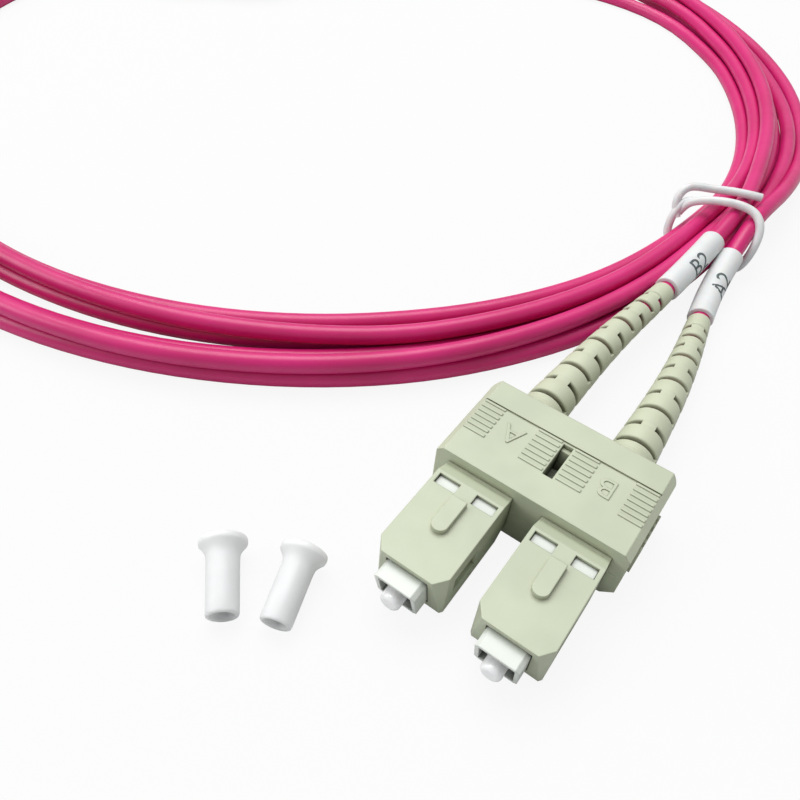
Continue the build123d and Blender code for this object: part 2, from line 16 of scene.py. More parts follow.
import bmesh
import bpy
from mathutils import Matrix, Vector
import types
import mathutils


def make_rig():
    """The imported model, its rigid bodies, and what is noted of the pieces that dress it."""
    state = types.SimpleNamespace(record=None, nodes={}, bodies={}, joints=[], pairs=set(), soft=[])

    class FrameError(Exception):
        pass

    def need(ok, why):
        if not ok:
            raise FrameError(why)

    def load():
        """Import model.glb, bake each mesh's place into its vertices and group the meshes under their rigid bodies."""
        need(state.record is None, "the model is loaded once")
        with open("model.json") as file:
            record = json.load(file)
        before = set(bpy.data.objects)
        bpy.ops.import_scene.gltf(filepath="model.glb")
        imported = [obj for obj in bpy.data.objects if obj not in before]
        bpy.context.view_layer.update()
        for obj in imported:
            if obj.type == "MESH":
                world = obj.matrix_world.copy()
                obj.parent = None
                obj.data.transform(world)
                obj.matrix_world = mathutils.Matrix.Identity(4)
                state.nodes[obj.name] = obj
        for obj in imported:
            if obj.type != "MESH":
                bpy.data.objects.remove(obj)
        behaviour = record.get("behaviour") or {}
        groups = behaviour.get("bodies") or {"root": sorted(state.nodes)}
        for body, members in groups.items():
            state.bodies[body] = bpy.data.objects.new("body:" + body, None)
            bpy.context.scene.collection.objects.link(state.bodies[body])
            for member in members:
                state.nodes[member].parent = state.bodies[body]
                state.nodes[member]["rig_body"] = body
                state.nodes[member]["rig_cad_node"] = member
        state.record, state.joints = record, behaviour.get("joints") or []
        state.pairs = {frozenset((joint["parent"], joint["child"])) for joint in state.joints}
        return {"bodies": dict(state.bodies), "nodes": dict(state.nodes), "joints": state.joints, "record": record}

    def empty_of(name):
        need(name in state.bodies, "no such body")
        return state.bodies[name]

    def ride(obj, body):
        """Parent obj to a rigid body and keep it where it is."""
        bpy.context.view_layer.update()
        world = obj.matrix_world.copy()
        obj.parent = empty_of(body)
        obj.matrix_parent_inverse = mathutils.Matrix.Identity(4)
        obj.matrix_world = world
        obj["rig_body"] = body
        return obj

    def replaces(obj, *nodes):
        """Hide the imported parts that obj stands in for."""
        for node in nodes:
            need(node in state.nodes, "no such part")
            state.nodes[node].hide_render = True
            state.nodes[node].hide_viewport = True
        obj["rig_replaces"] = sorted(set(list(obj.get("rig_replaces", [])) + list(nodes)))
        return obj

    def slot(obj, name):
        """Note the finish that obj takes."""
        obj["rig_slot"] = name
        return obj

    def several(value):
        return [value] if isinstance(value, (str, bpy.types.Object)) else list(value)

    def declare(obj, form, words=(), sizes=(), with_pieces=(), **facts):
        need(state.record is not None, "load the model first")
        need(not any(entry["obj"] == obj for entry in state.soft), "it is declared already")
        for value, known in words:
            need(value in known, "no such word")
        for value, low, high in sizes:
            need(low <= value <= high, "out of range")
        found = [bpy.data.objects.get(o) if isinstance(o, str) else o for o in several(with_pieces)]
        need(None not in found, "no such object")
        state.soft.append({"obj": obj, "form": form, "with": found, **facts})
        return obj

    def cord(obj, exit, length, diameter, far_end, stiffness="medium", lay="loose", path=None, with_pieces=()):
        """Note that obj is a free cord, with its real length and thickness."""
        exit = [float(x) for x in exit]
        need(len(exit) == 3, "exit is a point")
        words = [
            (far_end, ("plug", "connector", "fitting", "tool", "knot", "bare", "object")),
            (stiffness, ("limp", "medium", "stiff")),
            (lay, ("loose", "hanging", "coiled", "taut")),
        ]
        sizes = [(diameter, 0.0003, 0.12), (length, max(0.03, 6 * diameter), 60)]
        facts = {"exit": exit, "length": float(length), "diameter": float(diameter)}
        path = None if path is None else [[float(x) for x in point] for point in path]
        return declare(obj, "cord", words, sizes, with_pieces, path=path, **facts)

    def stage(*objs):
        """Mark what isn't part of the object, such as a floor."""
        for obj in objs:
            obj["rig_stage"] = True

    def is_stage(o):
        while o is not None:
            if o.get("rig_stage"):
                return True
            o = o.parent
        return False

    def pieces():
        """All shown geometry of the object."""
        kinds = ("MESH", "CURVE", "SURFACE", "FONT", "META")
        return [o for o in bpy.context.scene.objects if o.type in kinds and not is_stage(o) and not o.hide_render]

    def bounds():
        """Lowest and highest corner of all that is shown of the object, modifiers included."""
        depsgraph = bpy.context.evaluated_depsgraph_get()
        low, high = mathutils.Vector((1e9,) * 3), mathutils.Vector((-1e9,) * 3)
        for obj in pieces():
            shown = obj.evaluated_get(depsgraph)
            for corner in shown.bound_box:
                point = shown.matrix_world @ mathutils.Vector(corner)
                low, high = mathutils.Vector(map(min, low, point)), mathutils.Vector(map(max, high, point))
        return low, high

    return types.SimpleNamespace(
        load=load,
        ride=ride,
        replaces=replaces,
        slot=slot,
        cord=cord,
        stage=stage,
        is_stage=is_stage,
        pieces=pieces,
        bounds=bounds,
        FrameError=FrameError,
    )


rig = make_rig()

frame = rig.load()
nodes = frame["nodes"]
cad_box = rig.bounds()
MM = 0.001
print("nodes", len(nodes), "box", cad_box)

# %% [markdown]
# The camera was worked out from the known sizes of the connector, which fix where it stood,
# which way it looked and how wide its view was. It could be placed by eye too, but then no size
# could be read off the picture. The three rows are its right, its up and the way it looks back.

# %% Camera
RIGHT = (0.810095, 0.583135, 0.060836)
UP = (-0.471643, 0.586516, 0.658447)
BACK = (0.348282, -0.562097, 0.750165)
PLACE = (0.012466, -0.034686, 0.074891)
FOCAL_PIXELS = 753.44
PICTURE_PIXELS = 800
SENSOR_MM = 36.0

camera_data = bpy.data.cameras.new("camera")
camera_data.sensor_width = SENSOR_MM
camera_data.lens = FOCAL_PIXELS / PICTURE_PIXELS * SENSOR_MM
camera_data.clip_start = 0.002
camera_data.clip_end = 20
camera = bpy.data.objects.new("camera", camera_data)
turn = Matrix((RIGHT, UP, BACK)).transposed()
camera.matrix_world = Matrix.Translation(PLACE) @ turn.to_4x4()
bpy.context.scene.collection.objects.link(camera)
bpy.context.scene.camera = camera
print("lens", round(camera_data.lens, 2))

# %% [markdown]
# Each cord is one smooth curve from the near boot to the far one. Its first and last points
# are the routes of the solids, and the turns between them follow lanes: at an angle round the
# coil, how far the cord lies outside the bundle's middle line, and how high its own middle is.
# The lanes say where it lies on the floor, where it rests on others and where it crosses over.
# A long list of points in space would do as well. Lanes are easier to mend, because one station
# moves a cord past its neighbours and leaves the rest of the turn alone.

# %% Cord lanes
FLOOR_CORD = -3.03
CORD = 2.8
CENTRE = (-101.0, 103.0)
TIE_LIFT = 1.4
TIE_ANGLE = -9.0
TIE_WIDTH = 6.0
LANES_A = [
    (-3.5, 0.0, 2.1), (3.6, -1.75, 2.3), (14, -2.7, 2.0), (28, -3.1, 1.8), (60, -3.1, 1.85),
    (66, -2.4, 2.1), (72, -1.5, 2.25), (80, -0.2, 1.9), (86, 0.6, 1.3), (92, 1.3, 0.3), (98, 1.9, -0.5),
    (115, 3.6, -0.2), (130, 5.3, -0.7), (160, 5.7, -0.55), (220, 5.6, -0.6), (250, 5.8, -0.45),
    (265, 5.9, -0.35), (280, 6.0, -0.35), (295, 6.8, -0.22), (305, 6.4, -0.22), (315, 5.95, -0.23),
    (325, 4.1, -0.38), (335, 2.3, -0.5), (343, 0.9, -0.2), (351, -0.5, -0.6), (364, -0.5, -0.6),
    (388, -1.5, -0.6), (490, -1.5, -0.6), (497, -1.5, -0.9), (505, -1.5, -1.4), (512, -1.5, -2.0),
    (520, -1.45, -3.03), (560, -1.3, -3.03), (640, -1.2, -3.03), (655, -0.9, -3.03), (675, -0.95, -3.03),
    (695, -1.8, -3.03), (724, -1.95, -3.03), (748, -3.2, -3.03), (850, -3.2, -3.03), (880, -4.4, -3.03),
    (920, -4.2, -3.03), (1000, -4.0, -3.03), (1015, -4.5, -3.03), (1035, -5.25, -3.03),
    (1055, -5.0, -3.03), (1084, -4.8, -3.03), (1108, -6.4, -3.03), (1118, -6.4, -3.03),
]
LANES_B = [
    (-6, 3.7, 1.8), (0, 4.3, 1.6), (5, 4.9, 0.6), (10, 5.2, -1.4), (15, 5.5, -2.9), (28, 7.0, -3.03),
    (130, 7.0, -3.03), (160, 7.1, -3.03), (220, 7.0, -3.03), (280, 6.8, -3.03), (295, 6.5, -3.03),
    (315, 6.05, -3.03), (335, 4.2, -3.03), (343, 3.4, -1.6), (351, 2.3, -0.6), (364, 2.3, -0.6),
    (375, 2.7, -1.1), (388, 3.6, -3.03), (490, 3.6, -3.03), (520, 4.3, -3.03), (560, 4.2, -3.03),
    (640, 4.0, -3.03), (655, 3.5, -3.03), (675, 1.95, -3.03), (695, 1.0, -3.03), (724, 0.9, -3.03),
    (748, 0.2, -3.03), (850, 0.2, -3.03), (880, 1.5, -3.03), (893, 1.1, -1.6), (903, 0.2, -0.6),
    (912, -1.0, -0.22), (925, -2.5, -0.48), (940, -2.7, -0.6), (1000, -2.0, -0.35), (1015, -0.6, -0.25),
    (1035, 0.55, -0.6), (1045, -0.2, -0.48), (1055, -1.0, -0.35), (1062, -2.0, -0.2), (1071, -3.4, -0.6),
    (1084, -3.4, -0.6), (1108, -4.8, -0.6), (1118, -4.7, -0.6),
]
POINTS_PER_TURN = 48


def middle_line(degrees):
    """How far the bundle's middle lies from the coil's centre, which is flattened on one side."""
    near_flat = (1 + math.cos(math.radians(degrees - 160))) / 2
    return 100 - 22 * near_flat ** 2


def lane(stations, degrees):
    """Where a cord lies at an angle: distance from the coil's centre, and height."""
    for (low, offset, height), (high, next_offset, next_height) in zip(stations, stations[1:]):
        if low <= degrees <= high:
            share = (degrees - low) / (high - low)
            offset += (next_offset - offset) * share
            height += (next_height - height) * share
            break
    from_tie = (degrees - TIE_ANGLE + 180) % 360 - 180
    height += TIE_LIFT * math.exp(-(from_tie / TIE_WIDTH) ** 2)
    return middle_line(degrees) + offset, height


def coil_points(stations):
    """The control points of one cord round the coil."""
    first, last = stations[0][0], stations[-1][0]
    count = round((last - first) / 360 * POINTS_PER_TURN)
    widen = 1 / (1 - (math.pi / POINTS_PER_TURN) ** 2 / 2)
    points = []
    for number in range(count + 1):
        degrees = first + (last - first) * number / count
        radius, height = lane(stations, degrees)
        angle = math.radians(degrees)
        radius *= widen
        points.append((CENTRE[0] + radius * math.cos(angle), CENTRE[1] + radius * math.sin(angle), height))
    return points


# %% [markdown]
# The straight parts use the points of the solids' routes. The far connector stands turned by
# 45 degrees inside the coil, so its routes are written in its own frame and then moved there.
# The cords cross on the way: the plug marked A at one end is the one marked B at the other.
# A NURBS curve with a round bevel is as thick all along as an extruded jacket is. The far
# connector's place and the back of the coil aren't in the photo and are a choice.

# %% Cords
FAR_PLACE = (-158.0, 105.0)
FAR_TURN = math.radians(-45.0)
NEAR_ROUTES = {
    "a": [(-6.35, 31.5, 0.0), (-5.85, 42.5, 0.1), (-4.75, 53.5, 0.3), (-2.9, 65.0, 0.6), (-1.5, 80.0, 1.3),
          (-0.75, 88.5, 2.9)],
    "b": [(6.35, 31.5, 0.0), (6.2, 42.0, -0.15), (5.4, 52.0, -0.8), (4.6, 58.5, -1.4), (3.6, 65.0, -1.9),
          (2.5, 72.5, -1.5), (2.2, 80.0, 0.2), (2.3, 86.5, 2.1)],
}
FAR_ROUTES = {
    "a": [(-6.35, 31.5, 0.0), (-5.75, 42.5, 0.0), (-5.0, 53.0, 0.0), (-4.3, 63.5, 0.0), (-3.6, 80.5, -1.0),
          (-3.5, 97.0, -0.8), (7.5, 118.0, -0.7), (27.5, 131.5, -0.4)],
    "b": [(6.35, 31.5, 0.0), (5.75, 42.5, 0.0), (5.0, 53.0, 0.0), (4.3, 63.5, 0.0), (3.6, 80.5, -1.0),
          (3.8, 94.5, -2.2), (11.5, 114.5, -3.0), (29.0, 128.5, -3.02)],
}
far_frame = Matrix.Translation((FAR_PLACE[0], FAR_PLACE[1], 0)) @ Matrix.Rotation(FAR_TURN, 4, "Z")
near_frame = Matrix.Identity(4)


def add_curve(name, points, radius, bevel=10, steps=8):
    """A round cord or wire through smooth control points, in millimetres."""
    data = bpy.data.curves.new(name, "CURVE")
    data.dimensions = "3D"
    spline = data.splines.new("NURBS")
    spline.points.add(len(points) - 1)
    for target, point in zip(spline.points, points):
        target.co = (point[0] * MM, point[1] * MM, point[2] * MM, 1)
    spline.order_u = 3
    spline.use_endpoint_u = True
    spline.resolution_u = steps
    data.bevel_depth = radius * MM
    data.bevel_resolution = bevel
    data.use_fill_caps = True
    obj = bpy.data.objects.new(name, data)
    bpy.context.scene.collection.objects.link(obj)
    return obj


def centre_line(curve):
    """The smooth line that a curve follows, as a list of points with their distance along it."""
    depth = curve.data.bevel_depth
    curve.data.bevel_depth = 0
    bpy.context.view_layer.update()
    ready = curve.evaluated_get(bpy.context.evaluated_depsgraph_get())
    mesh = bpy.data.meshes.new_from_object(ready)
    points = [vertex.co.copy() for vertex in mesh.vertices]
    bpy.data.meshes.remove(mesh)
    curve.data.bevel_depth = depth
    line = [(0.0, points[0])]
    for before, after in zip(points, points[1:]):
        line.append((line[-1][0] + (after - before).length, after))
    return line


cords = {}
lines = {}
for letter, stations, far_letter in (("a", LANES_A, "b"), ("b", LANES_B, "a")):
    route = list(NEAR_ROUTES[letter]) + coil_points(stations)
    route += [tuple(far_frame @ Vector(point)) for point in reversed(FAR_ROUTES[far_letter])]
    cords[letter] = add_curve(f"cord_{letter}", route, CORD / 2, bevel=12, steps=4)
    lines[letter] = centre_line(cords[letter])
    print("cord", letter, "points", len(route), "length", round(lines[letter][-1][0], 4))

# %% [markdown]
# A small class lets the shader maths be written as formulas. Every value it makes is a socket
# of the material's node tree. The nodes could be made and linked one by one, but a formula is
# shorter and shows what it works out.


# %% Shader sockets
class Value:
    """A socket of a node tree that can be added, multiplied and so on."""

    def __init__(self, tree, socket):
        self.tree = tree
        self.socket = socket

    def maths(self, operation, *others):
        node = self.tree.nodes.new("ShaderNodeMath")
        node.operation = operation
        self.tree.links.new(self.socket, node.inputs[0])
        for slot, other in enumerate(others, 1):
            if isinstance(other, Value):
                self.tree.links.new(other.socket, node.inputs[slot])
            else:
                node.inputs[slot].default_value = other
        return Value(self.tree, node.outputs[0])

    def __add__(self, other):
        return self.maths("ADD", other)

    def __mul__(self, other):
        return self.maths("MULTIPLY", other)

    def between(self, low, high):
        """0 below low and 1 above high, smooth between them."""
        node = self.tree.nodes.new("ShaderNodeMapRange")
        node.interpolation_type = "SMOOTHSTEP"
        self.tree.links.new(self.socket, node.inputs["Value"])
        node.inputs["From Min"].default_value = low
        node.inputs["From Max"].default_value = high
        return Value(self.tree, node.outputs["Result"])


# %% Material class
class Material:
    """A procedural material: a Principled shader and the sockets that feed it."""

    def __init__(self, name):
        self.data = bpy.data.materials.new(name)
        self.data.use_nodes = True
        self.tree = self.data.node_tree
        self.shader = self.tree.nodes["Principled BSDF"]
        self.place = self.tree.nodes.new("ShaderNodeTexCoord").outputs["Object"]
        self.normal = None

    def set(self, **values):
        for name, value in values.items():
            self.shader.inputs[name.replace("_", " ")].default_value = value
        return self

    def noise(self, size, detail=3.0, roughness=0.55, stretch=None):
        """Noise whose features are about size millimetres across."""
        node = self.tree.nodes.new("ShaderNodeTexNoise")
        node.inputs["Scale"].default_value = 1 / (size * MM)
        node.inputs["Detail"].default_value = detail
        node.inputs["Roughness"].default_value = roughness
        source = self.place
        if stretch:
            mapping = self.tree.nodes.new("ShaderNodeMapping")
            mapping.inputs["Scale"].default_value = stretch
            self.tree.links.new(source, mapping.inputs["Vector"])
            source = mapping.outputs["Vector"]
        self.tree.links.new(source, node.inputs["Vector"])
        return Value(self.tree, node.outputs["Fac"])

    def crevice(self, distance):
        """1 in the open and less in narrow places, from the shape round a point."""
        node = self.tree.nodes.new("ShaderNodeAmbientOcclusion")
        node.inputs["Distance"].default_value = distance * MM
        node.samples = 6
        return Value(self.tree, node.outputs["AO"])

    def mix(self, share, first, second):
        """A colour between two, by a socket's value."""
        node = self.tree.nodes.new("ShaderNodeMix")
        node.data_type = "RGBA"
        self.tree.links.new(share.socket, node.inputs["Factor"])
        for slot, colour in (("A", first), ("B", second)):
            target = [item for item in node.inputs if item.name == slot and item.type == "RGBA"][0]
            if isinstance(colour, tuple):
                target.default_value = (*colour, 1)
            else:
                self.tree.links.new(colour.socket if isinstance(colour, Value) else colour, target)
        return [item for item in node.outputs if item.type == "RGBA"][0]

    def feed(self, name, source):
        socket = source.socket if isinstance(source, Value) else source
        self.tree.links.new(socket, self.shader.inputs[name])
        return self

    def round_edges(self, radius):
        """Light falls on the edges as on a moulding, rounded by this many millimetres."""
        node = self.tree.nodes.new("ShaderNodeBevel")
        node.samples = 8
        node.inputs["Radius"].default_value = radius * MM
        self.normal = node.outputs["Normal"]
        return self

    def bump(self, height, distance, strength=1.0):
        """A bump from a height socket, distance in millimetres, on top of those before it."""
        node = self.tree.nodes.new("ShaderNodeBump")
        node.inputs["Distance"].default_value = distance * MM
        node.inputs["Strength"].default_value = strength
        self.tree.links.new(height.socket, node.inputs["Height"])
        if self.normal:
            self.tree.links.new(self.normal, node.inputs["Normal"])
        self.normal = node.outputs["Normal"]
        self.tree.links.new(self.normal, self.shader.inputs["Normal"])
        return self


# %% [markdown]
# The moulded plastics are a pale greenish beige with a fine spark-eroded grain, and slightly
# uneven in gloss. Shade is painted into their colour: a little darker in corners and crevices, and
# nearly black in deep recesses. The boots are the same colour in a softer, more matt rubber. Real
# mouldings have small radii on their edges. A Bevel modifier could make them, but the solids are
# loose triangles, on which it leaves flaws, so a Bevel node rounds the light on the edges and the
# mesh keeps them sharp.


# %% Moulded plastics
def moulded(name, light, dark, roughness, grain, subsurface=0.0, edge=0.2):
    """A moulded plastic with grain and gloss that varies, and painted shade: darker in corners and crevices, near
    black in deep recesses.
    """
    material = Material(name)
    material.set(Roughness=roughness, IOR=1.48, Subsurface_Weight=subsurface, Subsurface_Scale=0.0006)
    material.set(Subsurface_Radius=(1.0, 0.9, 0.7))
    patch = material.noise(9.0, detail=2.0)
    shade = tuple(0.93 * part for part in light)
    base = material.mix(patch.between(0.35, 0.7), light, shade)
    # Painted shade: the colour darkens towards the dark colour in corners and crevices, and towards a near-black
    # painted shadow in deep recesses.
    open_air = material.crevice(1.2).between(0.15, 0.75)
    crevice_shaded_colour = material.mix(open_air, dark, base)
    deep = material.crevice(5.0).between(0.05, 0.3)
    painted_black_shadow = tuple(0.12 * part for part in dark)
    material.feed("Base Color", material.mix(deep, painted_black_shadow, Value(material.tree, crevice_shaded_colour)))
    material.round_edges(edge)
    gloss = material.noise(2.2, detail=4.0) * 0.16 + (roughness - 0.08)
    material.feed("Roughness", gloss)
    material.bump(material.noise(0.16, detail=2.0), grain)
    material.bump(material.noise(1.8, detail=1.0), grain * 0.7)
    return material.data


BEIGE = (0.50, 0.54, 0.40)
# The third value of each is the painted shade colour for corners and crevices, from which the near-black painted
# shadow in deep recesses is also made.
plastic = moulded("beige plastic", BEIGE, (0.27, 0.285, 0.175), 0.44, 0.006, 0.06)
boot_rubber = moulded("beige rubber", (0.54, 0.57, 0.42), (0.18, 0.18, 0.10), 0.55, 0.008, 0.08, 0.12)
frame_white = moulded("white plastic", (0.71, 0.74, 0.69), (0.34, 0.36, 0.30), 0.38, 0.004, 0.12)
print("moulded materials made")

# %% [markdown]
# The jacket is extruded, so its surface has fine lines along the cord, a faint waviness and a
# soft gloss that varies from place to place. Its own colour is a deep magenta. An image could
# hold all this, but noise on Object coordinates needs no picture and never repeats.


# %% Jacket
def jacket():
    material = Material("magenta jacket")
    material.set(Roughness=0.4, IOR=1.5, Subsurface_Weight=0.08, Subsurface_Scale=0.0005)
    material.set(Subsurface_Radius=(1.0, 0.25, 0.45), Coat_Weight=0.12, Coat_Roughness=0.22)
    wave = material.noise(14.0, detail=3.0)
    base = material.mix(wave.between(0.35, 0.68), (0.62, 0.011, 0.165), (0.55, 0.008, 0.135))
    speck = material.noise(0.7, detail=5.0, roughness=0.7)
    dusty = material.mix(speck.between(0.62, 0.8), base, (0.64, 0.02, 0.18))
    material.feed("Base Color", dusty)
    material.feed("Roughness", material.noise(3.5, detail=4.0) * 0.2 + 0.3)
    material.bump(material.noise(0.35, detail=3.0), 0.006)
    material.bump(material.noise(2.5, detail=2.0), 0.02)
    return material.data


# %% [markdown]
# The sleeves and the tie's coating are plain white plastics, and the caps are a milky one that
# lets some light through. Subsurface light softens all three, most of all the caps.


# %% Sleeve, tie and caps
def sleeve_plastic():
    material = Material("sleeve white")
    material.set(Roughness=0.5, IOR=1.46, Subsurface_Weight=0.15, Subsurface_Scale=0.0008)
    base = material.mix(material.noise(4.0).between(0.35, 0.7), (0.70, 0.71, 0.70), (0.65, 0.665, 0.665))
    material.feed("Base Color", base)
    material.feed("Roughness", material.noise(1.5) * 0.2 + 0.38)
    material.bump(material.noise(1.2, detail=2.0), 0.015)
    return material.data


def tie_coating():
    material = Material("tie coating")
    material.set(Roughness=0.35, IOR=1.5, Subsurface_Weight=0.1, Subsurface_Scale=0.0006)
    base = material.mix(material.noise(3.0).between(0.4, 0.7), (0.71, 0.715, 0.71), (0.62, 0.63, 0.635))
    material.feed("Base Color", base)
    material.feed("Roughness", material.noise(1.0) * 0.25 + 0.25)
    material.bump(material.noise(0.9, detail=3.0), 0.03)
    return material.data


def milky():
    material = Material("milky cap")
    material.set(Roughness=0.42, IOR=1.49, Transmission_Weight=0.18)
    material.set(Subsurface_Weight=0.5, Subsurface_Scale=0.0025)
    material.set(Subsurface_Radius=(1.0, 1.0, 0.95))
    base = material.mix(material.noise(3.0).between(0.4, 0.7), (0.96, 0.97, 0.96), (0.92, 0.935, 0.925))
    material.feed("Base Color", base)
    material.feed("Roughness", material.noise(1.4) * 0.2 + 0.32)
    material.bump(material.noise(0.8, detail=2.0), 0.01)
    return material.data


# %% [markdown]
# The ferrules are of white ceramic, which is dense and glossy. Inside, the springs and crimp
# rings are steel and the flanges and stops are nickel. They hardly show. The marks are printed
# in a dark grey ink.


# %% Ceramic, metals and ink
def ceramic():
    material = Material("zirconia")
    material.set(Roughness=0.14, IOR=1.9, Subsurface_Weight=0.35, Subsurface_Scale=0.0012)
    material.set(Subsurface_Radius=(1.0, 0.97, 0.92))
    base = material.mix(material.noise(1.2).between(0.4, 0.7), (0.95, 0.955, 0.95), (0.90, 0.91, 0.905))
    material.feed("Base Color", base)
    material.feed("Roughness", material.noise(0.9) * 0.12 + 0.1)
    return material.data


def metal(name, colour, roughness):
    material = Material(name)
    material.set(Metallic=1.0, Roughness=roughness)
    turned = material.noise(0.5, detail=2.0, stretch=(1.0, 6.0, 1.0))
    dull = tuple(0.8 * part for part in colour)
    material.feed("Base Color", material.mix(turned.between(0.35, 0.7), colour, dull))
    material.feed("Roughness", turned * 0.25 + (roughness - 0.1))
    material.bump(turned, 0.01)
    return material.data


def ink():
    material = Material("dark ink")
    material.set(Roughness=0.6)
    base = material.mix(material.noise(0.4).between(0.35, 0.75), (0.055, 0.07, 0.07), (0.12, 0.14, 0.14))
    material.feed("Base Color", base)
    return material.data


# %% [markdown]
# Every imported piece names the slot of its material, so one table gives each of them its finish.

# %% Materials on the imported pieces
jacket_pink = jacket()
sleeve_white = sleeve_plastic()
tie_white = tie_coating()
cap_milky = milky()
zirconia = ceramic()
nickel = metal("nickel", (0.72, 0.70, 0.66), 0.3)
steel = metal("steel", (0.56, 0.56, 0.57), 0.35)
dark_ink = ink()
SLOT_MATERIALS = {
    "beige_plastic": plastic, "white_plastic": frame_white, "ceramic": zirconia, "nickel": nickel,
    "steel": steel, "beige_rubber": boot_rubber, "sleeve_white": sleeve_white,
    "cord_magenta": jacket_pink, "tie_white": tie_white, "cap_clear": cap_milky,
}
slot_of = {row["node"]: row["material_slot"] for row in frame["record"]["subparts"]}
for name, node in nodes.items():
    node.data.materials.clear()
    node.data.materials.append(SLOT_MATERIALS[slot_of[name]])
print("materials", len(bpy.data.materials))

# %% [markdown]
# The clips, housings and plug frames are shown by their own solids, and their materials round the
# edges. Helpers make the other meshes: rings turned as on a lathe, and pieces bent along a cord's
# line. A Curve modifier could bend them too. The function gives the points at once, so a mark
# on a sleeve follows the same bend as the sleeve.


# %% Mesh helpers
def add_mesh(name, vertices, faces, material, smooth_angle=35.0):
    """A mesh in metres, with smooth faces and sharp edges beyond an angle."""
    mesh = bpy.data.meshes.new(name)
    mesh.from_pydata(vertices, [], faces)
    mesh.update()
    work = bmesh.new()
    work.from_mesh(mesh)
    bmesh.ops.recalc_face_normals(work, faces=work.faces)
    work.to_mesh(mesh)
    work.free()
    mesh.polygons.foreach_set("use_smooth", [True] * len(mesh.polygons))
    mesh.set_sharp_from_angle(angle=math.radians(smooth_angle))
    mesh.materials.append(material)
    obj = bpy.data.objects.new(name, mesh)
    bpy.context.scene.collection.objects.link(obj)
    return obj


def belongs(obj, *replaced):
    """The piece stands for CAD nodes: it rides on their body and takes their slot."""
    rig.ride(obj, nodes[replaced[0]]["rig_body"])
    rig.slot(obj, slot_of[replaced[0]])
    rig.replaces(obj, *replaced)
    return obj


def lathe(profile, segments, closed=True):
    """Vertices and faces of a profile (radius, along) turned about Y, in millimetres."""
    vertices = []
    faces = []
    count = len(profile)
    for step in range(segments):
        angle = 2 * math.pi * step / segments
        for radius, along in profile:
            vertices.append((radius * math.cos(angle), along, radius * math.sin(angle)))
    for step in range(segments):
        for number in range(count if closed else count - 1):
            one = step * count + number
            two = step * count + (number + 1) % count
            three = ((step + 1) % segments) * count + (number + 1) % count
            four = ((step + 1) % segments) * count + number
            faces.append((one, two, three, four))
    return vertices, faces


# %% Bending along a cord
def along_line(line, distance):
    """The place and direction on a cord's line, a distance from its start in metres."""
    if distance < line[0][0]:
        ahead = (line[4][1] - line[0][1]).normalized()
        return line[0][1] + ahead * (distance - line[0][0]), ahead
    for (low, first), (high, second) in zip(line, line[1:]):
        if low <= distance <= high:
            share = (distance - low) / (high - low)
            return first.lerp(second, share), (second - first).normalized()
    return line[-1][1], (line[-1][1] - line[-2][1]).normalized()


LOOK_AHEAD = 0.0008


def bend(vertices, line):
    """Points (side, along, up) in millimetres, laid along a cord's line."""
    placed = []
    known = {}
    for side, along, up in vertices:
        key = round(along, 4)
        if key not in known:
            place, _ = along_line(line, along * MM)
            before, _ = along_line(line, along * MM - LOOK_AHEAD)
            after, _ = along_line(line, along * MM + LOOK_AHEAD)
            ahead = (after - before).normalized()
            across = ahead.cross(Vector((0, 0, 1))).normalized()
            known[key] = place, across, across.cross(ahead)
        place, across, upward = known[key]
        placed.append(tuple(place + across * side * MM + upward * up * MM))
    return placed


print("helpers ready")

# %% [markdown]
# Each boot is a rubber sleeve that keeps the cord from kinking. It is a stack of rings joined by
# narrow bridges, which lie left and right of one slot and above and below the next, so it bends
# both ways. It tapers towards the cord. It could be cut from a cone, or repeated by Geometry
# Nodes. Here loops turn each ring from its own section, with rounded edges and its own radius
# from the taper, and then bend all the points along the cord's line.

# %% Boot sizes
HALF_PITCH = 6.35
BOOT_START = 31.5
BOOT_BASE = 3.05
BOOT_TIP = 1.75
BOOT_LENGTH = 33.6
BORE = 1.5
SLOT_WIDE = 0.72
SLOTS = [0.95] + [4.4 + 3.7 * number - 0.075 * number * (number - 1) for number in range(9)]
BRIDGE_HALF = 0.95
COLLAR_RADIUS = 3.3
COLLAR_FROM = -5.3
COLLAR_TO = -0.7
COLLAR_BORE = 2.15
COLLAR_OVERLAP = 0.3
STRAIGHT_BEFORE = -0.5
BRIDGE_SINK = 0.04
BRIDGE_OVERLAP = 0.15
EDGE = 0.26
SEGMENTS = 72


def boot_radius(along):
    share = max(0.0, min(1.0, along / BOOT_LENGTH))
    return BOOT_BASE + (BOOT_TIP - BOOT_BASE) * share


# %% Boot rings
def ring_profile(low, high, outer_low, outer_high, inner):
    """A ring's section with rounded outer edges, as (radius, along)."""
    profile = [(inner, low), (inner, high), (outer_high - EDGE, high)]
    for step in (30, 60):
        swing = math.radians(step)
        profile.append((outer_high - EDGE + EDGE * math.sin(swing), high - EDGE + EDGE * math.cos(swing)))
    profile.append((outer_high, high - EDGE))
    profile.append((outer_low, low + EDGE))
    for step in (60, 30):
        swing = math.radians(step)
        profile.append((outer_low - EDGE + EDGE * math.sin(swing), low + EDGE - EDGE * math.cos(swing)))
    profile.append((outer_low - EDGE, low))
    return profile


